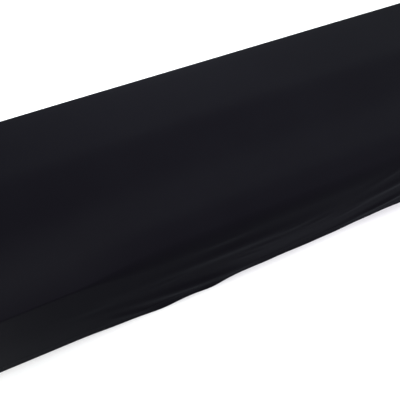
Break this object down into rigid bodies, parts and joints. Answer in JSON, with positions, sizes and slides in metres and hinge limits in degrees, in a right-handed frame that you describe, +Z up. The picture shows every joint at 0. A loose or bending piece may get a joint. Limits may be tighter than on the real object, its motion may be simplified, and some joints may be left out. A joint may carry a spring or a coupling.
{
  "type": "keyboard dust cover",
  "caption": "Fitted dust cover of black stretch knit for a full-length stage piano: raised back, soft step down, rounded front edge, loose folds at the front, drops to the floor, hollow below.",
  "frame": {"origin": "the underside of the top, at the middle of its length and depth, where the cover lies on the instrument", "axes": "+X along the length to the player's right, -Y to the player, +Z up"},
  "size_m": [1.296, 0.3939, 0.1711],
  "materials": {
    "knit": "matte black stretch knit"
  },
  "bodies": {
    "root": {"main_panel": "knit", "end_panel_left": "knit", "end_panel_right": "knit"}
  },
  "joints": []
}
